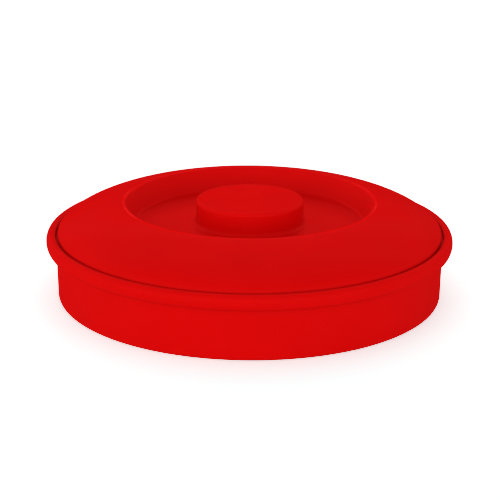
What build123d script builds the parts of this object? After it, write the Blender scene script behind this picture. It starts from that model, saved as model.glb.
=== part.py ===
from build123d import *
from math import atan2, tan
import os

# Round tortilla server: a low dish and a lift-off lid, each one injection moulding in polypropylene.
# Millimetres, +Z up. The origin is the middle of the underside, on the table that the server stands on.
# Both pieces are solids of revolution about Z. Every outline is drawn in section, as (radius, height).

# ---- the whole server ----
server_d = 241.3             # over the rim: 9 1/2 in
server_h = 57.0              # from the table to the top of the knob: 2 1/4 in

# ---- dish: wall, floor and foot ----
wall_t = 2.6
wall_top_r = 114.9           # outside of the wall where it meets the rim
wall_foot_r = 114.4          # outside of the wall at the table: about 1 degree of draft
corner_round = 2.3           # outside edge between the wall and the foot
floor_t = 2.8
inner_corner_round = 6.0     # inside edge between the wall and the floor
foot_ring_w = 6.0            # flat ring that the dish stands on, inside the rounded corner
foot_rise = 1.4              # the underside within that ring stands clear of the table by this
foot_round = 0.6

# ---- dish: rolled rim, a rounded bead with a lip turned down outside the wall ----
rim_r = server_d / 2
rim_wide_z = 34.5            # height at which the rim is widest
crest_r = 117.7              # top of the bead
crest_z = 39.0
lip_bottom_r = 117.9         # lower edge of the lip
lip_bottom_z = 30.1
lip_round = 0.3
groove_r = 117.0             # the groove between the wall and the lip is open at the bottom
groove_top_z = 33.0
groove_round = 0.8

# ---- dish: seat for the lid, inside the rim ----
seat_r = 115.2               # upright face round the lid's edge
seat_z = 35.3                # ledge that the lid rests on
mouth_z = 37.6               # where the upright face runs into the bead
seat_round = 0.4

# ---- lid: turned-down edge and domed shoulder ----
lid_t = 2.4
lid_r = 114.1
edge_z = 38.1                # the edge is upright from the ledge to here
brow_z = 44.1                # height of the shoulder's control point above the edge
crown_r = 94.2               # the shoulder's control point beside the crest
crown_z = 53.9
edge_round = 0.7

# ---- lid: crest and sunk centre ----
ridge_r = 73.6
ridge_z = 56.0
ridge_round = 1.4
ridge_inner_round = 1.0
sunk_r = 68.3                # edge of the sunk floor
sunk_z = 42.8
sunk_round = 1.6

# ---- lid: hollow knob ----
knob_top_r = 31.8
knob_foot_r = 32.3
knob_edge_round = 2.2
knob_inner_round = 1.5
knob_foot_round = 2.4

# ---- marks where the moulds were filled, hidden under the floor and inside the knob ----
gate_r = 3.0
gate_h = 0.5


def quarter_ellipse(centre_r, centre_z, half_w, half_h, start_angle):
    """A quarter of an ellipse in section, running anticlockwise from its start angle in degrees."""
    return EllipticalCenterArc((centre_r, centre_z), half_w, half_h, start_angle, arc_size=90)


def section(*edges):
    """The closed outline made of these lines and curves, as a flat face in the XZ plane."""
    return Plane.XZ * make_face(list(edges))


def rounded(face, corners):
    """The section with the corner nearest to each (radius, height) rounded by its own amount."""
    for corner_r, corner_z, size in corners:
        corner = face.vertices().sort_by_distance((corner_r, 0, corner_z))[0]
        face = fillet(corner, size)
    return face


def turned(face):
    """The solid that a section makes when it is turned about Z."""
    return revolve(face, axis=Axis.Z)


def dish():
    """Wall, floor, foot ring, rolled rim, and the ledge inside it for the lid."""
    ring_r = wall_foot_r - corner_round - foot_ring_w
    floor_z = foot_rise + floor_t
    inner_foot_r = wall_foot_r - wall_t
    inner_top_r = wall_top_r - wall_t
    outside = Polyline(
        (0, floor_z),
        (0, foot_rise - gate_h),
        (gate_r, foot_rise - gate_h),
        (gate_r, foot_rise),
        (ring_r, foot_rise),
        (ring_r, 0),
        (wall_foot_r, 0),
        (wall_top_r, groove_top_z),
        (groove_r, groove_top_z),
        (groove_r, lip_bottom_z),
        (lip_bottom_r, lip_bottom_z),
    )
    lip = quarter_ellipse(lip_bottom_r, rim_wide_z, rim_r - lip_bottom_r, rim_wide_z - lip_bottom_z, -90)
    bead = quarter_ellipse(crest_r, rim_wide_z, rim_r - crest_r, crest_z - rim_wide_z, 0)
    mouth = quarter_ellipse(crest_r, mouth_z, crest_r - seat_r, crest_z - mouth_z, 90)
    inside = Polyline(
        (seat_r, mouth_z),
        (seat_r, seat_z),
        (inner_top_r, seat_z),
        (inner_foot_r, floor_z),
        (0, floor_z),
    )
    corners = [
        (ring_r, foot_rise, foot_round),
        (ring_r, 0, foot_round),
        (wall_foot_r, 0, corner_round),
        (wall_top_r, groove_top_z, groove_round),
        (groove_r, groove_top_z, groove_round),
        (groove_r, lip_bottom_z, lip_round),
        (seat_r, seat_z, seat_round),
        (inner_top_r, seat_z, seat_round),
        (inner_foot_r, floor_z, inner_corner_round),
    ]
    return turned(rounded(section(outside, lip, bead, mouth, inside), corners))


def lid():
    """Turned-down edge, domed shoulder, crest, sunk centre and hollow knob, all of one thickness."""
    recess_slope = atan2(ridge_z - sunk_z, ridge_r - sunk_r)
    recess_shift = lid_t * tan(recess_slope / 2)
    brow_drop = lid_t / 2
    ceiling_z = server_h - lid_t
    under_z = sunk_z - lid_t
    ridge_inner_r = ridge_r + recess_shift
    ridge_inner_z = ridge_z - lid_t
    edge_inner_r = lid_r - lid_t
    top = Polyline(
        (0, ceiling_z - gate_h),
        (0, server_h),
        (knob_top_r, server_h),
        (knob_foot_r, sunk_z),
        (sunk_r, sunk_z),
        (ridge_r, ridge_z),
    )
    shoulder = Bezier((ridge_r, ridge_z), (crown_r, crown_z), (lid_r, brow_z), (lid_r, edge_z))
    edge = Polyline(
        (lid_r, edge_z),
        (lid_r, seat_z),
        (edge_inner_r, seat_z),
        (edge_inner_r, edge_z),
    )
    shoulder_inside = Bezier(
        (edge_inner_r, edge_z),
        (edge_inner_r, brow_z - brow_drop),
        (crown_r, crown_z - lid_t),
        (ridge_inner_r, ridge_inner_z),
    )
    under = Polyline(
        (ridge_inner_r, ridge_inner_z),
        (sunk_r + recess_shift, under_z),
        (knob_foot_r - lid_t, under_z),
        (knob_top_r - lid_t, ceiling_z),
        (gate_r, ceiling_z),
        (gate_r, ceiling_z - gate_h),
        (0, ceiling_z - gate_h),
    )
    corners = [
        (knob_top_r, server_h, knob_edge_round),
        (knob_foot_r, sunk_z, knob_foot_round),
        (sunk_r, sunk_z, sunk_round),
        (ridge_r, ridge_z, ridge_round),
        (lid_r, seat_z, edge_round),
        (edge_inner_r, seat_z, edge_round),
        (ridge_inner_r, ridge_inner_z, ridge_inner_round),
        (sunk_r + recess_shift, under_z, sunk_round + lid_t),
        (knob_foot_r - lid_t, under_z, knob_foot_round + lid_t),
        (knob_top_r - lid_t, ceiling_z, knob_inner_round),
    ]
    return turned(rounded(section(top, shoulder, edge, shoulder_inside, under), corners))


os.makedirs("parts", exist_ok=True)
export_step(dish(), "parts/dish.step")
export_step(lid(), "parts/lid.step")
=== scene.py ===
"""Looks of a round tortilla server: a low dish with a rolled rim, and a lift-off lid with a knob.

Each moulding is turned round the Z axis by a Geometry Nodes tree, from a section drawn with the
sizes held in its class. Lengths are in metres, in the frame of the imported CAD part.
"""

import logging
import math
from dataclasses import dataclass, field
from enum import Enum
from typing import Any, Iterable, Optional, Sequence

import bmesh
import bpy
from mathutils import Matrix, Vector


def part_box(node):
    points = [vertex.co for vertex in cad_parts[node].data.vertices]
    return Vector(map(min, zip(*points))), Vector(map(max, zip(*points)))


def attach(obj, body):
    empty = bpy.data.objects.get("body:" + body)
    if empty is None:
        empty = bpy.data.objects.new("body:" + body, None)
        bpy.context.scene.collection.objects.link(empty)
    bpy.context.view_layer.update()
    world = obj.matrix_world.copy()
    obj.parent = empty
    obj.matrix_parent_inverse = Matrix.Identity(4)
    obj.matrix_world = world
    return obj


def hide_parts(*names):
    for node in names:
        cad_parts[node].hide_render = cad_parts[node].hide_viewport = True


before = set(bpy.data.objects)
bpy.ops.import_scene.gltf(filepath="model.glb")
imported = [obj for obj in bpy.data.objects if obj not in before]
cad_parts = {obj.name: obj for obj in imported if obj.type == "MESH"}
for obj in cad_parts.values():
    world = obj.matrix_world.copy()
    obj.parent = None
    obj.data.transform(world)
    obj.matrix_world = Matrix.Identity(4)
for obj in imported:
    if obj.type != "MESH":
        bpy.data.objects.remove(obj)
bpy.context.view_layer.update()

LOG = logging.getLogger("tortilla_server")
MM = 0.001
NOTHING = 1e-7  # lengths below this count as none
RIGHT_ANGLE = 90.0  # degrees
NODE_STEP = 220  # from one node to the next in a tree's layout
MARK_SIDES = 40  # sides of an ejector mark
WHITE = (1.0, 1.0, 1.0, 1.0)


class Body(str, Enum):
    """The two bodies of the part, by their names in the record."""

    DISH = "dish"
    LID = "lid"


class Slot(str, Enum):
    """The record's material slots."""

    DISH = "dish_plastic"
    LID = "lid_plastic"


class TreeKind(str, Enum):
    """Kinds of node tree that this script builds."""

    SHADER = "ShaderNodeTree"
    GEOMETRY = "GeometryNodeTree"


class SocketKind(str, Enum):
    """Kinds of socket on a node group's interface."""

    FLOAT = "NodeSocketFloat"
    INT = "NodeSocketInt"
    VECTOR = "NodeSocketVector"
    COLOR = "NodeSocketColor"
    GEOMETRY = "NodeSocketGeometry"
    MATERIAL = "NodeSocketMaterial"


# ---- node trees


class Graph:
    """A node tree under construction, with short ways to add nodes and wire them."""

    def __init__(self, tree: bpy.types.NodeTree) -> None:
        """Starts on a tree. Its nodes are laid out in a row, in the order they are added."""
        self.tree = tree
        self.count = 0

    def add(self, kind: str, **settings: Any) -> bpy.types.Node:
        """Adds a node.

        Args:
            kind: Blender's name for the node type.
            **settings: properties of the node, such as operation="ADD".

        Returns:
            The new node.
        """
        node = self.tree.nodes.new(kind)
        for name, value in settings.items():
            setattr(node, name, value)
        node.location = (NODE_STEP * self.count, 0)
        self.count += 1
        return node

    def feed(self, socket: bpy.types.NodeSocket, value: Any) -> None:
        """Wires an output socket to an input socket, or sets the input to a plain value."""
        if isinstance(value, bpy.types.NodeSocket):
            self.tree.links.new(value, socket)
        elif value is not None:
            socket.default_value = value

    def feed_all(self, node: bpy.types.Node, **inputs: Any) -> bpy.types.Node:
        """Feeds a node's inputs by name, with underscores for spaces, and returns the node."""
        for name, value in inputs.items():
            self.feed(node.inputs[name.replace("_", " ")], value)
        return node

    def fed(self, kind: str, **inputs: Any) -> bpy.types.Node:
        """Adds a node of a kind, feeds its inputs by name and returns it."""
        return self.feed_all(self.add(kind), **inputs)

    def math(self, operation: str, a: Any, b: Any = None, c: Any = None) -> bpy.types.NodeSocket:
        """Adds a Math node.

        Args:
            operation: Blender's name for the operation.
            a: first operand, a socket or a number.
            b: second operand.
            c: third operand.

        Returns:
            The result's socket.
        """
        node = self.add("ShaderNodeMath", operation=operation)
        for socket, value in zip(node.inputs, (a, b, c)):
            self.feed(socket, value)
        return node.outputs[0]

    def vector(self, operation: str, a: Any, b: Any = None) -> bpy.types.Node:
        """Adds a Vector Math node and returns it, with its first two inputs fed."""
        node = self.add("ShaderNodeVectorMath", operation=operation)
        self.feed(node.inputs[0], a)
        self.feed(node.inputs[1], b)
        return node

    def scaled(self, vector: Any, factor: Any) -> bpy.types.NodeSocket:
        """Returns the vector times a number or a number's socket."""
        node = self.add("ShaderNodeVectorMath", operation="SCALE")
        self.feed(node.inputs[0], vector)
        self.feed(node.inputs["Scale"], factor)
        return node.outputs[0]

    def inverse(self, size: Any) -> bpy.types.NodeSocket:
        """Returns one over a size, which is the scale of a pattern of that size."""
        return self.math("DIVIDE", 1.0, size)

    def flatten(self, vector: Any) -> tuple[bpy.types.NodeSocket, bpy.types.NodeSocket]:
        """Returns a vector's Z, and the vector with its Z taken away."""
        parts = self.fed("ShaderNodeSeparateXYZ", Vector=vector)
        level = self.fed("ShaderNodeCombineXYZ", X=parts.outputs[0], Y=parts.outputs[1])
        return parts.outputs[2], level.outputs[0]

    def ramp(self, value: Any, start: Any, end: Any, low: Any = 0.0, high: Any = 1.0) -> bpy.types.NodeSocket:
        """Maps a value smoothly from one range to another.

        Args:
            value: the number to map.
            start: where the ramp begins.
            end: where the ramp ends.
            low: the result at the beginning.
            high: the result at the end.

        Returns:
            The result's socket.
        """
        node = self.add("ShaderNodeMapRange", interpolation_type="SMOOTHSTEP")
        for socket, given in zip(node.inputs, (value, start, end, low, high)):
            self.feed(socket, given)
        return node.outputs[0]

    def noise(self, vector: Any, scale: Any, detail: float = 2.0, roughness: float = 0.5) -> bpy.types.Node:
        """Adds a Noise Texture.

        Args:
            vector: where it is read.
            scale: its scale, a number or a socket.
            detail: how many finer layers it has.
            roughness: how strong the finer layers are.

        Returns:
            The texture node.
        """
        node = self.add("ShaderNodeTexNoise")
        self.feed(node.inputs["Vector"], vector)
        self.feed(node.inputs["Scale"], scale)
        node.inputs["Detail"].default_value = detail
        node.inputs["Roughness"].default_value = roughness
        return node

    def blend(self, factor: Any, a: Any, b: Any) -> bpy.types.NodeSocket:
        """Returns a colour that runs from a to b as the factor goes from 0 to 1."""
        node = self.add("ShaderNodeMix", data_type="RGBA")
        colours = [s for s in node.inputs if s.type == "RGBA"]
        self.feed(node.inputs[0], factor)
        self.feed(colours[0], a)
        self.feed(colours[1], b)
        return next(s for s in node.outputs if s.type == "RGBA")

    def use(self, group: bpy.types.NodeTree, **inputs: Any) -> bpy.types.Node:
        """Places a shader node group.

        Args:
            group: the group to place.
            **inputs: its inputs by name, with underscores for spaces.

        Returns:
            The group's node.
        """
        node = self.add("ShaderNodeGroup")
        node.node_tree = group
        return self.feed_all(node, **inputs)


@dataclass(frozen=True)
class Port:
    """A named socket on a group's interface, with its starting value."""

    name: str
    kind: SocketKind
    value: Any = None


def floats(**values: Optional[float]) -> list[Port]:
    """Lists number sockets by name, with underscores for spaces, and their starting values."""
    return [Port(name.replace("_", " "), SocketKind.FLOAT, value) for name, value in values.items()]


def new_group(
    name: str, kind: TreeKind, inputs: Sequence[Port], outputs: Sequence[Port]
) -> tuple[Graph, dict[str, bpy.types.NodeSocket], bpy.types.Node]:
    """Makes an empty node group.

    Args:
        name: the group's name.
        kind: shader or geometry.
        inputs: its input sockets.
        outputs: its output sockets.

    Returns:
        The graph to build in, the group's inputs by name, and its output node.
    """
    tree = bpy.data.node_groups.new(name, kind.value)
    for port in inputs:
        socket = tree.interface.new_socket(name=port.name, in_out="INPUT", socket_type=port.kind.value)
        if port.value is not None:
            socket.default_value = port.value
    for port in outputs:
        tree.interface.new_socket(name=port.name, in_out="OUTPUT", socket_type=port.kind.value)
    graph = Graph(tree)
    source = graph.add("NodeGroupInput")
    sink = graph.add("NodeGroupOutput")
    return graph, {port.name: source.outputs[port.name] for port in inputs}, sink


# ---- shared effects


class Effects:
    """The shader node groups that the plastics share. Each is built once.

    Each SPAN is the two values of a noise between which its effect comes up, from none to full.
    """

    RIPPLE_SPAN = (0.3, 0.7)
    DRIFT_SPAN = (0.32, 0.68)
    DRIFT_SHARE = 0.75
    SPECK_SPAN = (0.55, 0.8)
    SPECK_SHARE = 0.25
    STREAK_SPAN = (0.45, 0.75)
    EDGE_BAND_SPAN = (0.35, 0.65)
    LEAST_EDGE_BAND = 0.45
    STROKE_SPAN = (0.66, 0.76)
    STROKE_TURNS = (12.0, 74.0, 139.0)
    SCUFF_SPAN = (0.42, 0.66)
    WANDER_SCALE = 25.0
    WANDER = 6 * MM
    NOISE_MIDDLE = (0.5, 0.5, 0.5)

    def __init__(self) -> None:
        """Builds every group."""
        self.around = self.build_around()
        self.grain = self.build_grain()
        self.drift = self.build_drift()
        self.flow = self.build_flow()
        self.edge_wear_and_highlight = self.build_edge_wear_and_highlight()
        self.scuffs = self.build_scuffs()

    @staticmethod
    def build_around() -> bpy.types.NodeTree:
        """Makes the group that gives radius, height and direction about the Z axis."""
        graph, given, sink = new_group(
            "About the axis",
            TreeKind.SHADER,
            [Port("Vector", SocketKind.VECTOR)],
            [*floats(Radius=None, Height=None), Port("Direction", SocketKind.VECTOR)],
        )
        height, level = graph.flatten(given["Vector"])
        graph.feed_all(
            sink,
            Radius=graph.vector("LENGTH", level).outputs["Value"],
            Height=height,
            Direction=graph.vector("NORMALIZE", level).outputs[0],
        )
        return graph.tree

    @classmethod
    def build_grain(cls) -> bpy.types.NodeTree:
        """Makes the fine texture that the steel of a mould leaves on satin plastic."""
        graph, given, sink = new_group(
            "Moulding grain",
            TreeKind.SHADER,
            [
                Port("Vector", SocketKind.VECTOR),
                *floats(Grain_size=0.9 * MM, Ripple_size=22 * MM, Ripple_share=0.5),
            ],
            floats(Height=None, Patch=None),
        )
        fine_scale = graph.inverse(given["Grain size"])
        wide_scale = graph.inverse(given["Ripple size"])
        fine = graph.noise(given["Vector"], fine_scale, detail=3.0, roughness=0.6).outputs[0]
        wide = graph.noise(given["Vector"], wide_scale, detail=1.0, roughness=0.4).outputs[0]
        mixed = graph.add("ShaderNodeMix", data_type="FLOAT")
        graph.feed(mixed.inputs[0], given["Ripple share"])
        graph.feed(mixed.inputs[2], fine)
        graph.feed(mixed.inputs[3], wide)
        graph.feed_all(sink, Height=mixed.outputs[0], Patch=graph.ramp(wide, *cls.RIPPLE_SPAN))
        return graph.tree

    @classmethod
    def build_drift(cls) -> bpy.types.NodeTree:
        """Makes the slow change of colour that pigment leaves in a moulding."""
        graph, given, sink = new_group(
            "Colour drift",
            TreeKind.SHADER,
            [
                Port("Vector", SocketKind.VECTOR),
                Port("Colour", SocketKind.COLOR, (0.5, 0.5, 0.5, 1.0)),
                Port("Deeper", SocketKind.COLOR, (0.4, 0.4, 0.4, 1.0)),
                *floats(Patch_size=45 * MM, Speck_size=1.6 * MM, Amount=0.5),
            ],
            [Port("Colour", SocketKind.COLOR)],
        )
        patches = graph.noise(given["Vector"], graph.inverse(given["Patch size"]), detail=2.0)
        specks = graph.noise(given["Vector"], graph.inverse(given["Speck size"]), detail=1.0)
        wide = graph.math("MULTIPLY", graph.ramp(patches.outputs[0], *cls.DRIFT_SPAN), cls.DRIFT_SHARE)
        small = graph.math("MULTIPLY", graph.ramp(specks.outputs[0], *cls.SPECK_SPAN), cls.SPECK_SHARE)
        factor = graph.math("MULTIPLY", graph.math("ADD", wide, small), given["Amount"])
        graph.feed(sink.inputs["Colour"], graph.blend(factor, given["Colour"], given["Deeper"]))
        return graph.tree

    @classmethod
    def build_flow(cls) -> bpy.types.NodeTree:
        """Makes the faint streaks that run out from the gate, where the melt came in."""
        graph, given, sink = new_group(
            "Flow streaks",
            TreeKind.SHADER,
            [
                Port("Direction", SocketKind.VECTOR),
                *floats(Radius=None, Streaks=9.0, Reach=100 * MM),
            ],
            floats(Mask=None),
        )
        turned = graph.scaled(given["Direction"], given["Streaks"])
        rise = graph.fed("ShaderNodeCombineXYZ", Z=graph.math("DIVIDE", given["Radius"], given["Reach"]))
        where = graph.vector("ADD", turned, rise.outputs[0]).outputs[0]
        streak = graph.noise(where, 1.0, detail=3.0, roughness=0.6).outputs[0]
        fade = graph.ramp(given["Radius"], 0.0, given["Reach"], 1.0, 0.0)
        mask = graph.math("MULTIPLY", graph.ramp(streak, *cls.STREAK_SPAN), fade)
        graph.feed(sink.inputs["Mask"], mask)
        return graph.tree

    @classmethod
    def build_edge_wear_and_highlight(cls) -> bpy.types.NodeTree:
        """Makes a lighter band along one round edge, broken up so that it comes and goes: rubbing, and a
        painted highlight on the lid's ridge.
        """
        graph, given, sink = new_group(
            "Edge wear and highlight",
            TreeKind.SHADER,
            [
                Port("Vector", SocketKind.VECTOR),
                *floats(Radius=None, Height=None, Edge_radius=0.1, Edge_height=0.0),
                *floats(Reach=1.5 * MM, Patch_size=9 * MM, Strength=1.0),
            ],
            floats(Mask=None),
        )
        across = graph.math("SUBTRACT", given["Radius"], given["Edge radius"])
        up = graph.math("SUBTRACT", given["Height"], given["Edge height"])
        squares = graph.math("ADD", graph.math("MULTIPLY", across, across), graph.math("MULTIPLY", up, up))
        near = graph.ramp(graph.math("SQRT", squares), 0.0, given["Reach"], 1.0, 0.0)
        patch_scale = graph.inverse(given["Patch size"])
        blotches = graph.noise(given["Vector"], patch_scale, detail=4.0, roughness=0.65).outputs[0]
        wear_and_highlight = graph.math("MULTIPLY", near, graph.ramp(blotches, *cls.EDGE_BAND_SPAN, cls.LEAST_EDGE_BAND, 1.0))
        graph.feed(sink.inputs["Mask"], graph.math("MULTIPLY", wear_and_highlight, given["Strength"]))
        return graph.tree

    @classmethod
    def build_scuffs(cls) -> bpy.types.NodeTree:
        """Makes short, fine scratches lying three ways, gathered in patches."""
        graph, given, sink = new_group(
            "Scuffs",
            TreeKind.SHADER,
            [
                Port("Vector", SocketKind.VECTOR),
                *floats(Stroke_length=14 * MM, Stroke_width=0.35 * MM, Patch_size=30 * MM, Amount=0.5),
            ],
            floats(Mask=None),
        )
        bend = graph.noise(given["Vector"], cls.WANDER_SCALE, detail=0.0).outputs["Color"]
        wander = graph.scaled(graph.vector("SUBTRACT", bend, cls.NOISE_MIDDLE).outputs[0], cls.WANDER)
        curved = graph.vector("ADD", given["Vector"], wander).outputs[0]
        thin = graph.inverse(given["Stroke width"])
        stretch = graph.fed("ShaderNodeCombineXYZ", X=graph.inverse(given["Stroke length"]), Y=thin, Z=thin)
        strokes = None
        for turn in cls.STROKE_TURNS:
            turned = graph.add("ShaderNodeVectorRotate", rotation_type="Z_AXIS")
            graph.feed_all(turned, Vector=curved, Angle=math.radians(turn))
            where = graph.vector("MULTIPLY", turned.outputs[0], stretch.outputs[0]).outputs[0]
            stroke = graph.ramp(graph.noise(where, 1.0, detail=0.0).outputs[0], *cls.STROKE_SPAN)
            strokes = stroke if strokes is None else graph.math("MAXIMUM", strokes, stroke)
        patches = graph.noise(given["Vector"], graph.inverse(given["Patch size"]), detail=2.0)
        mask = graph.math("MULTIPLY", strokes, graph.ramp(patches.outputs[0], *cls.SCUFF_SPAN))
        graph.feed(sink.inputs["Mask"], graph.math("MULTIPLY", mask, given["Amount"]))
        return graph.tree


# ---- finishes


@dataclass(frozen=True)
class LightenedEdge:
    """A round edge painted lighter in a band: rubbing by hands and the table, and on the lid's ridge a
    painted highlight.

    Attributes:
        radius: radius of the edge.
        height: height of the edge.
        reach: how far the lighter band spreads from it.
        strength: how strong it is, from 0 to 1.
    """

    radius: float
    height: float
    reach: float
    strength: float


@dataclass(frozen=True)
class SatinPlastic:
    """Red polypropylene as it comes from a satin mould, after some use."""

    colour: tuple[float, float, float] = (0.690, 0.0050, 0.0050)
    deeper: tuple[float, float, float] = (0.630, 0.0042, 0.0042)
    # Lighter colour of the edge bands and scuffs: rubbing, and the painted highlight on the lid's ridge.
    wear_and_highlight_colour: tuple[float, float, float] = (0.820, 0.0350, 0.0300)
    drift: float = 0.5
    patch_size: float = 45 * MM
    roughness: float = 0.42
    patch_roughness: float = 0.05
    streak_roughness: float = 0.05
    worn_roughness: float = -0.10
    scuff_roughness: float = 0.16
    specular: float = 0.26
    ior: float = 1.49
    grain_size: float = 0.9 * MM
    grain_depth: float = 0.045 * MM
    scuff_amount: float = 0.70
    scuff_colour: float = 0.55
    scuff_depth: float = 0.8

    def build(
        self, name: str, effects: Effects, edges: Iterable[LightenedEdge], gate_reach: float
    ) -> bpy.types.Material:
        """Makes the material of one moulding.

        Args:
            name: the material's name.
            effects: the shared node groups.
            edges: the edges painted lighter, for rubbing and, on the lid's ridge, a painted highlight.
            gate_reach: how far the flow streaks run from the axis.

        Returns:
            The material.
        """
        material = bpy.data.materials.new(name)
        material.use_nodes = True
        material.node_tree.nodes.clear()
        graph = Graph(material.node_tree)
        place = graph.add("ShaderNodeTexCoord").outputs["Object"]
        about = graph.use(effects.around, Vector=place)
        radius, height = about.outputs["Radius"], about.outputs["Height"]
        grain = graph.use(effects.grain, Vector=place, Grain_size=self.grain_size)
        flow = graph.use(effects.flow, Direction=about.outputs["Direction"], Radius=radius, Reach=gate_reach)
        scuffs = graph.use(effects.scuffs, Vector=place, Amount=self.scuff_amount)
        wear_and_highlight = self.add_wear_and_highlight(graph, effects, edges, place, radius, height)
        drift = graph.use(
            effects.drift,
            Vector=place,
            Colour=(*self.colour, 1.0),
            Deeper=(*self.deeper, 1.0),
            Patch_size=self.patch_size,
            Amount=self.drift,
        )
        # Lighter colour from scuffs and edge bands; on the lid's ridge the band is a painted highlight.
        lightened = graph.math("MULTIPLY_ADD", scuffs.outputs["Mask"], self.scuff_colour, wear_and_highlight)
        lightened = graph.math("MINIMUM", lightened, 1.0)
        colour = graph.blend(lightened, drift.outputs["Colour"], (*self.wear_and_highlight_colour, 1.0))
        shader = graph.fed(
            "ShaderNodeBsdfPrincipled",
            Base_Color=colour,
            Roughness=self.rough(graph, grain, flow, wear_and_highlight, scuffs),
            Specular_IOR_Level=self.specular,
            IOR=self.ior,
            Normal=self.relief(graph, grain, scuffs),
        )
        graph.fed("ShaderNodeOutputMaterial", Surface=shader.outputs[0])
        return material

    def add_wear_and_highlight(
        self,
        graph: Graph,
        effects: Effects,
        edges: Iterable[LightenedEdge],
        place: bpy.types.NodeSocket,
        radius: bpy.types.NodeSocket,
        height: bpy.types.NodeSocket,
    ) -> bpy.types.NodeSocket:
        """Adds up the lighter band of every edge: rubbing, and the ridge's painted highlight.

        Args:
            graph: the material's graph.
            effects: the shared node groups.
            edges: the edges that show wear.
            place: the object's own coordinates.
            radius: distance from the axis.
            height: height above the table.

        Returns:
            A mask from 0 to 1.
        """
        total: Optional[bpy.types.NodeSocket] = None
        for edge in edges:
            mask = graph.use(
                effects.edge_wear_and_highlight,
                Vector=place,
                Radius=radius,
                Height=height,
                Edge_radius=edge.radius,
                Edge_height=edge.height,
                Reach=edge.reach,
                Strength=edge.strength,
            ).outputs[0]
            total = mask if total is None else graph.math("MAXIMUM", total, mask)
        return total

    def rough(
        self,
        graph: Graph,
        grain: bpy.types.Node,
        flow: bpy.types.Node,
        wear_and_highlight: bpy.types.NodeSocket,
        scuffs: bpy.types.Node,
    ) -> bpy.types.NodeSocket:
        """Works out the roughness from the grain, the flow streaks, the wear and the scuffs.

        Args:
            graph: the material's graph.
            grain: the grain's node.
            flow: the flow streaks' node.
            wear_and_highlight: mask of the lighter edge bands, rubbing and the ridge's painted highlight.
            scuffs: the scuffs' node.

        Returns:
            The roughness socket.
        """
        shares = (
            (grain.outputs["Patch"], self.patch_roughness),
            (flow.outputs["Mask"], self.streak_roughness),
            (wear_and_highlight, self.worn_roughness),
            (scuffs.outputs["Mask"], self.scuff_roughness),
        )
        total: Any = self.roughness
        for mask, share in shares:
            total = graph.math("MULTIPLY_ADD", mask, share, total)
        return total

    def relief(self, graph: Graph, grain: bpy.types.Node, scuffs: bpy.types.Node) -> bpy.types.NodeSocket:
        """Turns the grain and the scuffs into a bumped normal.

        Args:
            graph: the material's graph.
            grain: the grain's node.
            scuffs: the scuffs' node.

        Returns:
            The normal's socket.
        """
        scratches = scuffs.outputs["Mask"]
        height = graph.math("MULTIPLY_ADD", scratches, -self.scuff_depth, grain.outputs["Height"])
        bump = graph.fed("ShaderNodeBump", Strength=1.0, Distance=self.grain_depth, Height=height)
        return bump.outputs[0]


@dataclass(frozen=True)
class PaleFloor:
    """Smooth white board that the server stands on.

    Attributes:
        colour: its colour.
        roughness: its roughness.
        glow: light added where the board itself is seen, which keeps it white and its shadow faint. It is
            a little cool, against the red light that the server throws on the board.
    """

    colour: tuple[float, float, float] = (0.93, 0.93, 0.93)
    roughness: float = 0.7
    glow: tuple[float, float, float] = (0.33, 0.43, 0.43)

    def build(self) -> bpy.types.Material:
        """Makes the floor's material and returns it."""
        material = bpy.data.materials.new("pale_floor")
        material.use_nodes = True
        graph = Graph(material.node_tree)
        graph.feed_all(
            material.node_tree.nodes["Principled BSDF"],
            Base_Color=(*self.colour, 1.0),
            Roughness=self.roughness,
            Specular_IOR_Level=0.0,
            Emission_Color=(*self.glow, 1.0),
            Emission_Strength=graph.add("ShaderNodeLightPath").outputs["Is Camera Ray"],
        )
        return material


# ---- sections


@dataclass(frozen=True)
class Corner:
    """A point of a section, with the radius that its corner is rounded to."""

    r: float
    z: float
    rounded: float = 0.0


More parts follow.
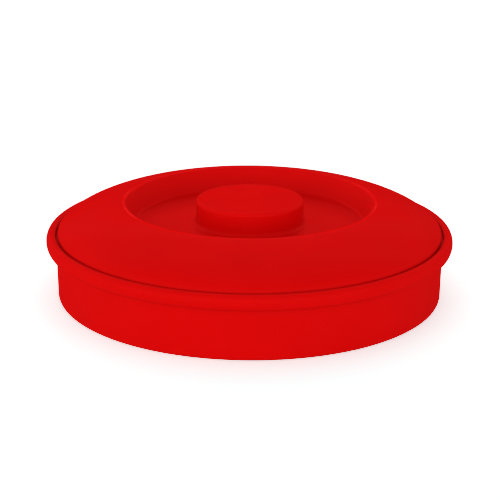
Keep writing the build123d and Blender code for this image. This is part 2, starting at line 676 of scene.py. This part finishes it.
@dataclass
class Section:
    """The outline of a moulding on one side of its axis, from pole to pole.

    Attributes:
        spacing: longest step along a straight run.
        guard: distance from a rounded corner to the point that keeps the run beyond it flat.
    """

    spacing: float = 3.5 * MM
    guard: float = 0.25 * MM
    corners: list[Corner] = field(default_factory=list)

    def to(self, r: float, z: float, rounded: float = 0.0) -> "Section":
        """Adds a straight run to a point and returns the section."""
        self.corners.append(Corner(r, z, rounded))
        return self

    def quarter(
        self, centre: tuple[float, float], reach: tuple[float, float], start: float, steps: int = 10
    ) -> "Section":
        """Adds a quarter of an ellipse, anticlockwise.

        Args:
            centre: its centre, as radius and height.
            reach: its half width and half height.
            start: angle at which it starts, in degrees.
            steps: how many steps it is drawn with.

        Returns:
            The section.
        """
        for step in range(steps + 1):
            angle = math.radians(start + RIGHT_ANGLE * step / steps)
            self.to(centre[0] + reach[0] * math.cos(angle), centre[1] + reach[1] * math.sin(angle))
        return self

    def bend(self, points: Sequence[tuple[float, float]], steps: int = 28) -> "Section":
        """Adds a Bezier curve after its first point, which is already the section's last one.

        Args:
            points: the curve's four control points, as radius and height.
            steps: how many steps it is drawn with.

        Returns:
            The section.
        """
        for step in range(1, steps + 1):
            t = step / steps
            weights = ((1 - t) ** 3, 3 * t * (1 - t) ** 2, 3 * t * t * (1 - t), t**3)
            r, z = (sum(w * p[axis] for w, p in zip(weights, points)) for axis in (0, 1))
            self.to(r, z)
        return self

    def points(self) -> list[Corner]:
        """Returns the corners with in-between points on the straight runs."""
        result: list[Corner] = []
        last = len(self.corners) - 1
        kept = [self.kept_clear(i) if 0 < i < last else 0.0 for i in range(last + 1)]
        for i, corner in enumerate(self.corners):
            if result and math.dist((result[-1].r, result[-1].z), (corner.r, corner.z)) < NOTHING:
                continue
            if i:
                result += self.between(self.corners[i - 1], corner, kept[i - 1], kept[i])
            result.append(corner)
        return result

    def kept_clear(self, i: int) -> float:
        """Returns how far from corner i its rounding and guard reach along the runs beside it."""
        before, here, after = self.corners[i - 1], self.corners[i], self.corners[i + 1]
        if not here.rounded:
            return 0.0
        way_in = Vector((here.r - before.r, here.z - before.z))
        way_out = Vector((after.r - here.r, after.z - here.z))
        return here.rounded * math.tan(way_in.angle(way_out) / 2) + self.guard

    def between(self, a: Corner, b: Corner, clear_a: float, clear_b: float) -> list[Corner]:
        """Returns the points inside a straight run.

        Args:
            a: the run's first corner.
            b: the run's last corner.
            clear_a: length kept clear of points beside a.
            clear_b: length kept clear of points beside b.

        Returns:
            The points, in order.
        """
        length = math.dist((a.r, a.z), (b.r, b.z))
        start, end = clear_a, length - clear_b
        if end - start < self.guard / 2:
            return []
        steps = max(1, math.ceil((end - start) / self.spacing))
        places = [start + (end - start) * i / steps for i in range(steps + 1)]
        inside = [p / length for p in places if NOTHING < p < length - NOTHING]
        return [Corner(a.r + (b.r - a.r) * t, a.z + (b.z - a.z) * t) for t in inside]


# ---- turning


@dataclass(frozen=True)
class EjectorMarks:
    """Round marks where the mould's pins pushed the piece off its core.

    Attributes:
        count: how many there are, evenly spaced.
        circle_r: radius of the circle that they stand on.
        z: height of the face that they mark.
        pin_r: radius of one mark.
        relief: how far it stands out of the face.
    """

    count: int
    circle_r: float
    z: float
    pin_r: float = 3.0 * MM
    relief: float = 0.06 * MM


class Lathe:
    """Turns a section round the Z axis with a Geometry Nodes tree."""

    def __init__(self) -> None:
        """Builds the tree."""
        self.tree = self.build_tree()
        self.keys = {
            item.name: item.identifier
            for item in self.tree.interface.items_tree
            if item.item_type == "SOCKET" and item.in_out == "INPUT"
        }

    @staticmethod
    def build_tree() -> bpy.types.NodeTree:
        """Makes the tree that rounds a section's corners, turns it and adds the ejector marks."""
        graph, given, sink = new_group(
            "Turned moulding",
            TreeKind.GEOMETRY,
            [
                Port("Section", SocketKind.GEOMETRY),
                Port("Steps round", SocketKind.INT, 256),
                Port("Steps per corner", SocketKind.INT, 6),
                Port("Path radius", SocketKind.FLOAT, 10 * MM),
                Port("Weld distance", SocketKind.FLOAT, 0.002 * MM),
                Port("Mark count", SocketKind.INT, 8),
                Port("Mark circle radius", SocketKind.FLOAT, 80 * MM),
                Port("Mark height", SocketKind.FLOAT, 0.0),
                Port("Mark radius", SocketKind.FLOAT, 3 * MM),
                Port("Mark relief", SocketKind.FLOAT, 0.06 * MM),
                Port("Finish", SocketKind.MATERIAL),
            ],
            [Port("Moulding", SocketKind.GEOMETRY)],
        )
        shell = Lathe.turn_section(graph, given)
        marks = Lathe.place_marks(graph, given)
        joined = graph.add("GeometryNodeJoinGeometry")
        graph.tree.links.new(marks, joined.inputs[0])
        graph.tree.links.new(shell, joined.inputs[0])
        real = graph.fed("GeometryNodeRealizeInstances", Geometry=joined.outputs[0])
        dressed = graph.fed("GeometryNodeSetMaterial", Geometry=real.outputs[0], Material=given["Finish"])
        graph.feed(sink.inputs["Moulding"], dressed.outputs[0])
        return graph.tree

    @staticmethod
    def turn_section(graph: Graph, given: dict[str, bpy.types.NodeSocket]) -> bpy.types.NodeSocket:
        """Adds the nodes that turn the section.

        Args:
            graph: the tree's graph.
            given: the tree's inputs by name.

        Returns:
            The turned shell's socket.
        """
        curve = graph.fed("GeometryNodeMeshToCurve", Mesh=given["Section"])
        named = graph.add("GeometryNodeInputNamedAttribute", data_type="FLOAT")
        rounded = graph.feed_all(named, Name="rounded")
        fillet = graph.feed_all(
            graph.add("GeometryNodeFilletCurve", mode="POLY"),
            Curve=curve.outputs[0],
            Radius=rounded.outputs["Attribute"],
            Count=given["Steps per corner"],
        )
        inward = graph.fed("ShaderNodeCombineXYZ", X=graph.math("MULTIPLY", given["Path radius"], -1.0))
        shifted = graph.fed(
            "GeometryNodeTransform", Geometry=fillet.outputs[0], Translation=inward.outputs[0]
        )
        path = graph.fed(
            "GeometryNodeCurvePrimitiveCircle", Resolution=given["Steps round"], Radius=given["Path radius"]
        )
        upright = graph.add("GeometryNodeSetCurveNormal", mode="Z_UP")
        graph.feed(upright.inputs["Curve"], path.outputs["Curve"])
        turned = graph.fed(
            "GeometryNodeCurveToMesh", Curve=upright.outputs[0], Profile_Curve=shifted.outputs[0]
        )
        welded = graph.fed(
            "GeometryNodeMergeByDistance", Geometry=turned.outputs[0], Distance=given["Weld distance"]
        )
        return graph.fed("GeometryNodeSetShadeSmooth", Geometry=welded.outputs[0]).outputs[0]

    @staticmethod
    def place_marks(graph: Graph, given: dict[str, bpy.types.NodeSocket]) -> bpy.types.NodeSocket:
        """Adds the nodes that stand ejector marks round a circle.

        Args:
            graph: the tree's graph.
            given: the tree's inputs by name.

        Returns:
            The marks' socket, as instances.
        """
        ring = graph.fed(
            "GeometryNodeMeshCircle", Vertices=given["Mark count"], Radius=given["Mark circle radius"]
        )
        lift = graph.fed("ShaderNodeCombineXYZ", Z=given["Mark height"])
        level = graph.fed("GeometryNodeTransform", Geometry=ring.outputs[0], Translation=lift.outputs[0])
        # Half of each mark is sunk in the face, so it is twice as deep as it stands out.
        mark = graph.fed(
            "GeometryNodeMeshCylinder",
            Vertices=MARK_SIDES,
            Radius=given["Mark radius"],
            Depth=graph.math("MULTIPLY", given["Mark relief"], 2.0),
        )
        flat = graph.fed("GeometryNodeSetShadeSmooth", Geometry=mark.outputs["Mesh"], Shade_Smooth=False)
        placed = graph.fed("GeometryNodeInstanceOnPoints", Points=level.outputs[0], Instance=flat.outputs[0])
        return placed.outputs[0]

    def turn(
        self, name: str, section: Section, marks: EjectorMarks, finish: bpy.types.Material
    ) -> bpy.types.Object:
        """Turns a section into a finished mesh object at the origin.

        Args:
            name: the new object's name.
            section: the outline to turn.
            marks: the ejector marks to add.
            finish: the material.

        Returns:
            The moulding.
        """
        points = section.points()
        outline = bpy.data.meshes.new(name + "_section")
        steps = [(i, i + 1) for i in range(len(points) - 1)]
        outline.from_pydata([(p.r, -p.z, 0.0) for p in points], steps, [])
        rounded = outline.attributes.new("rounded", "FLOAT", "POINT")
        rounded.data.foreach_set("value", [p.rounded for p in points])
        blank = new_object(name + "_blank", outline)
        modifier = blank.modifiers.new("turning", "NODES")
        modifier.node_group = self.tree
        for key, value in (
            ("Mark count", marks.count),
            ("Mark circle radius", marks.circle_r),
            ("Mark height", marks.z),
            ("Mark radius", marks.pin_r),
            ("Mark relief", marks.relief),
            ("Finish", finish),
        ):
            modifier[self.keys[key]] = value
        bpy.context.view_layer.update()
        scene_state = bpy.context.evaluated_depsgraph_get()
        mesh = bpy.data.meshes.new_from_object(blank.evaluated_get(scene_state), depsgraph=scene_state)
        blank.modifiers.remove(modifier)
        bpy.data.objects.remove(blank)
        bpy.data.meshes.remove(outline)
        mesh.name = name
        face_outwards(mesh)
        return new_object(name, mesh)


def face_outwards(mesh: bpy.types.Mesh) -> None:
    """Turns every face of a closed mesh to point outwards."""
    work = bmesh.new()
    work.from_mesh(mesh)
    bmesh.ops.recalc_face_normals(work, faces=work.faces)
    work.to_mesh(mesh)
    work.free()
    mesh.update()


def new_object(name: str, data: bpy.types.ID) -> bpy.types.Object:
    """Makes an object that shows a mesh or a camera, adds it to the scene and returns it."""
    made = bpy.data.objects.new(name, data)
    bpy.context.collection.objects.link(made)
    return made


# ---- the two mouldings


@dataclass
class Dish:
    """The dish: floor, wall, foot ring, rolled rim, and the ledge inside it for the lid."""

    rim_r: float
    crest_z: float
    wall_t: float = 2.6 * MM
    wall_top_r: float = 114.9 * MM
    wall_foot_r: float = 114.4 * MM
    corner_round: float = 2.3 * MM
    floor_t: float = 2.8 * MM
    inner_corner_round: float = 6.0 * MM
    foot_ring_w: float = 6.0 * MM
    foot_rise: float = 1.4 * MM
    foot_round: float = 0.6 * MM
    rim_wide_z: float = 34.5 * MM
    crest_r: float = 117.7 * MM
    lip_bottom_r: float = 117.9 * MM
    lip_bottom_z: float = 30.1 * MM
    lip_round: float = 0.3 * MM
    groove_r: float = 117.0 * MM
    groove_top_z: float = 33.0 * MM
    groove_round: float = 0.8 * MM
    seat_r: float = 115.2 * MM
    seat_z: float = 35.3 * MM
    mouth_z: float = 37.6 * MM
    seat_round: float = 0.4 * MM
    gate_r: float = 3.0 * MM
    gate_h: float = 0.5 * MM
    gate_round: float = 0.15 * MM
    mark_circle_r: float = 82.0 * MM
    mark_count: int = 8
    finish: SatinPlastic = SatinPlastic()

    @classmethod
    def from_frame(cls) -> "Dish":
        """Makes a dish as wide and as tall as its CAD node."""
        _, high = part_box("dish")
        return cls(rim_r=high[0], crest_z=high[2])

    def section(self) -> Section:
        """Draws the dish from the middle of its underside round to the middle of its floor."""
        ring_r = self.wall_foot_r - self.corner_round - self.foot_ring_w
        floor_z = self.foot_rise + self.floor_t
        gate_z = self.foot_rise - self.gate_h
        outline = Section().to(0, gate_z).to(self.gate_r, gate_z, self.gate_round)
        outline.to(self.gate_r, self.foot_rise, self.gate_round)
        outline.to(ring_r, self.foot_rise, self.foot_round).to(ring_r, 0, self.foot_round)
        outline.to(self.wall_foot_r, 0, self.corner_round)
        outline.to(self.wall_top_r, self.groove_top_z, self.groove_round)
        outline.to(self.groove_r, self.groove_top_z, self.groove_round)
        outline.to(self.groove_r, self.lip_bottom_z, self.lip_round)
        self.add_rim(outline)
        outline.to(self.seat_r, self.seat_z, self.seat_round)
        outline.to(self.wall_top_r - self.wall_t, self.seat_z, self.seat_round)
        outline.to(self.wall_foot_r - self.wall_t, floor_z, self.inner_corner_round)
        return outline.to(0, floor_z)

    def add_rim(self, outline: Section) -> None:
        """Adds the rolled rim: the lip, the bead over it, and the mouth that runs in to the seat."""
        lip = (self.rim_r - self.lip_bottom_r, self.rim_wide_z - self.lip_bottom_z)
        bead = (self.rim_r - self.crest_r, self.crest_z - self.rim_wide_z)
        mouth = (self.crest_r - self.seat_r, self.crest_z - self.mouth_z)
        outline.quarter((self.lip_bottom_r, self.rim_wide_z), lip, -90)
        outline.quarter((self.crest_r, self.rim_wide_z), bead, 0)
        outline.quarter((self.crest_r, self.mouth_z), mouth, 90)

    def lightened_edges(self) -> list[LightenedEdge]:
        """Lists the edges that the table, hands and the lid rub."""
        return [
            LightenedEdge(self.wall_foot_r - 0.7 * MM, 0.7 * MM, reach=2.2 * MM, strength=0.40),
            LightenedEdge(self.crest_r + 1.2 * MM, self.crest_z - 0.4 * MM, reach=2.0 * MM, strength=0.15),
            LightenedEdge(self.wall_top_r - self.wall_t, self.seat_z, reach=1.4 * MM, strength=0.35),
        ]

    def build(self, lathe: Lathe, effects: Effects) -> bpy.types.Object:
        """Makes and dresses the dish.

        Args:
            lathe: turns the section.
            effects: the shared node groups.

        Returns:
            The dish's object, riding on its body.
        """
        plastic = self.finish.build("dish_red_satin", effects, self.lightened_edges(), self.wall_foot_r)
        floor_z = self.foot_rise + self.floor_t
        marks = EjectorMarks(self.mark_count, self.mark_circle_r, floor_z)
        piece = lathe.turn("server_dish", self.section(), marks, plastic)
        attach(piece, Body.DISH.value)
        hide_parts("dish")
        return piece


@dataclass
class Lid:
    """The lid: turned-down edge, domed shoulder, sunk centre and hollow knob, of one thickness."""

    edge_r: float
    top_z: float
    seat_z: float
    wall_t: float = 2.4 * MM
    edge_z: float = 38.1 * MM
    brow_z: float = 44.1 * MM
    crown_r: float = 94.2 * MM
    crown_z: float = 53.9 * MM
    edge_round: float = 0.7 * MM
    ridge_r: float = 73.6 * MM
    ridge_z: float = 56.0 * MM
    ridge_round: float = 1.4 * MM
    ridge_inner_round: float = 1.0 * MM
    sunk_r: float = 68.3 * MM
    sunk_z: float = 42.8 * MM
    sunk_round: float = 1.6 * MM
    knob_top_r: float = 31.8 * MM
    knob_foot_r: float = 32.3 * MM
    knob_edge_round: float = 2.2 * MM
    knob_inner_round: float = 1.5 * MM
    knob_foot_round: float = 2.4 * MM
    gate_r: float = 3.0 * MM
    gate_h: float = 0.5 * MM
    gate_round: float = 0.15 * MM
    mark_circle_r: float = 52.0 * MM
    mark_count: int = 6
    finish: SatinPlastic = SatinPlastic()

    @classmethod
    def from_frame(cls) -> "Lid":
        """Makes a lid as wide and as tall as its CAD node, resting where that node rests."""
        low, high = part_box("lid")
        return cls(edge_r=high[0], top_z=high[2], seat_z=low[2])

    def section(self) -> Section:
        """Draws the lid from the middle of the knob's top round to the middle of its ceiling."""
        slope = math.atan2(self.ridge_z - self.sunk_z, self.ridge_r - self.sunk_r)
        shift = self.wall_t * math.tan(slope / 2)
        ceiling_z = self.top_z - self.wall_t
        under_z = self.sunk_z - self.wall_t
        inner_ridge = (self.ridge_r + shift, self.ridge_z - self.wall_t)
        inner_r = self.edge_r - self.wall_t
        knob_in = self.knob_top_r - self.wall_t
        outline = Section().to(0, self.top_z).to(self.knob_top_r, self.top_z, self.knob_edge_round)
        outline.to(self.knob_foot_r, self.sunk_z, self.knob_foot_round)
        outline.to(self.sunk_r, self.sunk_z, self.sunk_round)
        outline.to(self.ridge_r, self.ridge_z, self.ridge_round)
        outline.bend(
            [
                (self.ridge_r, self.ridge_z),
                (self.crown_r, self.crown_z),
                (self.edge_r, self.brow_z),
                (self.edge_r, self.edge_z),
            ]
        )
        outline.to(self.edge_r, self.seat_z, self.edge_round)
        outline.to(inner_r, self.seat_z, self.edge_round).to(inner_r, self.edge_z)
        outline.bend(
            [
                (inner_r, self.edge_z),
                (inner_r, self.brow_z - self.wall_t / 2),
                (self.crown_r, self.crown_z - self.wall_t),
                inner_ridge,
            ]
        )
        outline.corners[-1] = Corner(*inner_ridge, self.ridge_inner_round)
        outline.to(self.sunk_r + shift, under_z, self.sunk_round + self.wall_t)
        outline.to(self.knob_foot_r - self.wall_t, under_z, self.knob_foot_round + self.wall_t)
        outline.to(knob_in, ceiling_z, self.knob_inner_round)
        outline.to(self.gate_r, ceiling_z, self.gate_round)
        outline.to(self.gate_r, ceiling_z - self.gate_h, self.gate_round)
        return outline.to(0, ceiling_z - self.gate_h)

    def lightened_edges(self) -> list[LightenedEdge]:
        """Lists the edges painted lighter: hands and the dish rub the knob's top and the edge, and the
        ridge's band is a painted highlight, the thin light line on it.
        """
        return [
            LightenedEdge(self.knob_top_r - 0.6 * MM, self.top_z - 0.6 * MM, reach=1.8 * MM, strength=0.30),
            # Painted highlight: a lighter band where the crest catches the light, not rubbing.
            LightenedEdge(self.ridge_r + 1.2 * MM, self.ridge_z - 0.1 * MM, reach=1.8 * MM, strength=0.85),
            LightenedEdge(self.edge_r, self.seat_z, reach=1.6 * MM, strength=0.30),
        ]

    def build(self, lathe: Lathe, effects: Effects) -> bpy.types.Object:
        """Makes and dresses the lid.

        Args:
            lathe: turns the section.
            effects: the shared node groups.

        Returns:
            The lid's object, riding on its body.
        """
        plastic = self.finish.build("lid_red_satin", effects, self.lightened_edges(), self.edge_r)
        marks = EjectorMarks(self.mark_count, self.mark_circle_r, self.sunk_z - self.wall_t)
        piece = lathe.turn("server_lid", self.section(), marks, plastic)
        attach(piece, Body.LID.value)
        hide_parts("lid")
        return piece


# ---- the studio


@dataclass(frozen=True)
class Viewpoint:
    """The camera: where it stands and how it is turned.

    Angles are in degrees. The lens and the sensor are in millimetres, as Blender has them.
    """

    distance: float = 844.56 * MM
    side: float = 0.34 * MM
    height: float = 305.82 * MM
    pitch_down: float = 18.42
    roll: float = 0.41
    lens: float = 106.65
    sensor: float = 36.0
    nearest: float = 0.01
    farthest: float = 60.0

    def build(self) -> bpy.types.Object:
        """Makes the scene's camera and returns its object."""
        data = bpy.data.cameras.new("camera")
        data.lens = self.lens
        data.sensor_width = self.sensor
        data.clip_start = self.nearest
        data.clip_end = self.farthest
        camera = new_object("camera", data)
        tilt = Matrix.Rotation(math.radians(RIGHT_ANGLE - self.pitch_down), 4, "X")
        roll = Matrix.Rotation(math.radians(self.roll), 4, "Z")
        camera.matrix_world = Matrix.Translation((self.side, -self.distance, self.height)) @ tilt @ roll
        bpy.context.scene.camera = camera
        return camera


@dataclass(frozen=True)
class CatalogueGrade:
    """The deep, clean colour of catalogue work: weak green and blue are held down, white stays white.

    Attributes:
        points: the curve of the green and blue channels, as scene value and shown value.
    """

    points: tuple[tuple[float, float], ...] = (
        (0.02, 0.003),
        (0.09, 0.005),
        (0.20, 0.014),
        (0.31, 0.11),
        (0.48, 0.45),
        (0.75, 0.75),
    )

    def apply(self) -> None:
        """Sets the scene's view transform and its curves."""
        view = bpy.context.scene.view_settings
        view.view_transform = "Standard"
        view.use_curve_mapping = True
        for channel in (1, 2):
            curve = view.curve_mapping.curves[channel]
            for point in self.points:
                curve.points.new(*point)
        view.curve_mapping.update()


@dataclass
class Studio:
    """Pale floor, a light tent with a low band, a raised back panel and a roof light, camera and grade.

    Attributes:
        floor_size: width of the floor.
        band: brightness of the low band, all round.
        band_lean: how much brighter the band is on one side, and dimmer on the other.
        band_top: elevation at which the band ends, in degrees.
        band_azimuth: where the band is brightest, in degrees to the right of the camera.
        panel: brightness of the back panel.
        panel_middle: elevation at which the panel is brightest, in degrees.
        panel_top: elevation at which the panel ends, in degrees.
        panel_focus: how closely the panel keeps to the back.
        roof: brightness straight above.
        roof_start: elevation at which the roof light begins, in degrees.
        least: brightness that no direction goes below.
    """

    floor_size: float = 12.0
    band: float = 1.43
    band_lean: float = 1.13
    band_top: float = 60.0
    band_azimuth: float = -13.0
    panel: float = 1.97
    panel_middle: float = 25.0
    panel_top: float = 70.0
    panel_focus: float = 2.0
    roof: float = 1.17
    roof_start: float = 45.0
    least: float = 0.12

    def build(self) -> None:
        """Sets up the whole studio."""
        self.build_floor()
        self.build_surroundings()
        Viewpoint().build()
        CatalogueGrade().apply()

    def build_floor(self) -> None:
        """Makes the floor, in level with the underside of the server."""
        half = self.floor_size / 2
        mesh = bpy.data.meshes.new("floor")
        corners = [(-half, -half, 0), (half, -half, 0), (half, half, 0), (-half, half, 0)]
        mesh.from_pydata(corners, [], [(0, 1, 2, 3)])
        mesh.materials.append(PaleFloor().build())
        floor = new_object("floor", mesh)

    def build_surroundings(self) -> None:
        """Makes white surroundings that light the server, and are plain white where they are seen."""
        world = bpy.data.worlds.new("surroundings")
        world.use_nodes = True
        bpy.context.scene.world = world
        world.node_tree.nodes.clear()
        graph = Graph(world.node_tree)
        way = graph.add("ShaderNodeTexCoord").outputs["Generated"]
        strength = self.brightness(graph, way)
        lighting = graph.fed("ShaderNodeBackground", Color=WHITE, Strength=strength)
        backdrop = graph.fed("ShaderNodeBackground", Color=WHITE)
        seen = graph.add("ShaderNodeLightPath").outputs["Is Camera Ray"]
        mixed = graph.add("ShaderNodeMixShader")
        for socket, value in zip(mixed.inputs, (seen, lighting.outputs[0], backdrop.outputs[0])):
            graph.feed(socket, value)
        graph.fed("ShaderNodeOutputWorld", Surface=mixed.outputs[0])

    def brightness(self, graph: Graph, way: bpy.types.NodeSocket) -> bpy.types.NodeSocket:
        """Works out how bright the tent is in each direction.

        Args:
            graph: the world's graph.
            way: the direction.

        Returns:
            The brightness socket.
        """
        up, level = graph.flatten(way)
        flat = graph.vector("NORMALIZE", level).outputs[0]
        turn = math.radians(self.band_azimuth)
        brightest = (math.sin(turn), -math.cos(turn), 0.0)
        towards = graph.vector("DOT_PRODUCT", flat, brightest).outputs["Value"]
        back = graph.vector("DOT_PRODUCT", flat, (0.0, 1.0, 0.0)).outputs["Value"]
        behind = graph.math("POWER", graph.math("MAXIMUM", back, 0.0), self.panel_focus)
        elevation = graph.math("MULTIPLY", graph.math("ARCSINE", up), math.degrees(1.0))
        low = graph.ramp(elevation, 0.0, self.band_top, 1.0, 0.0)
        band = graph.math("MULTIPLY", low, graph.math("MULTIPLY_ADD", towards, self.band_lean, self.band))
        rise = graph.ramp(elevation, 0.0, self.panel_middle, 0.0, self.panel)
        fall = graph.ramp(elevation, self.panel_middle, self.panel_top, 1.0, 0.0)
        panel = graph.math("MULTIPLY", graph.math("MULTIPLY", rise, fall), behind)
        roof = graph.ramp(elevation, self.roof_start, RIGHT_ANGLE, 0.0, self.roof)
        total = graph.math("ADD", graph.math("ADD", band, panel), roof)
        return graph.math("MAXIMUM", total, self.least)


# ---- the run


def report(piece: bpy.types.Object) -> None:
    """Logs a finished piece's name and how many faces it has."""
    LOG.info("%s: %d faces", piece.name, len(piece.data.polygons))


def main() -> None:
    """Builds the dish, the lid and the studio, in that order."""
    logging.basicConfig(level=logging.INFO, format="%(name)s: %(message)s")
    effects = Effects()
    lathe = Lathe()
    for moulding in (Dish.from_frame(), Lid.from_frame()):
        report(moulding.build(lathe, effects))
    Studio().build()


if __name__ == "__main__":
    main()
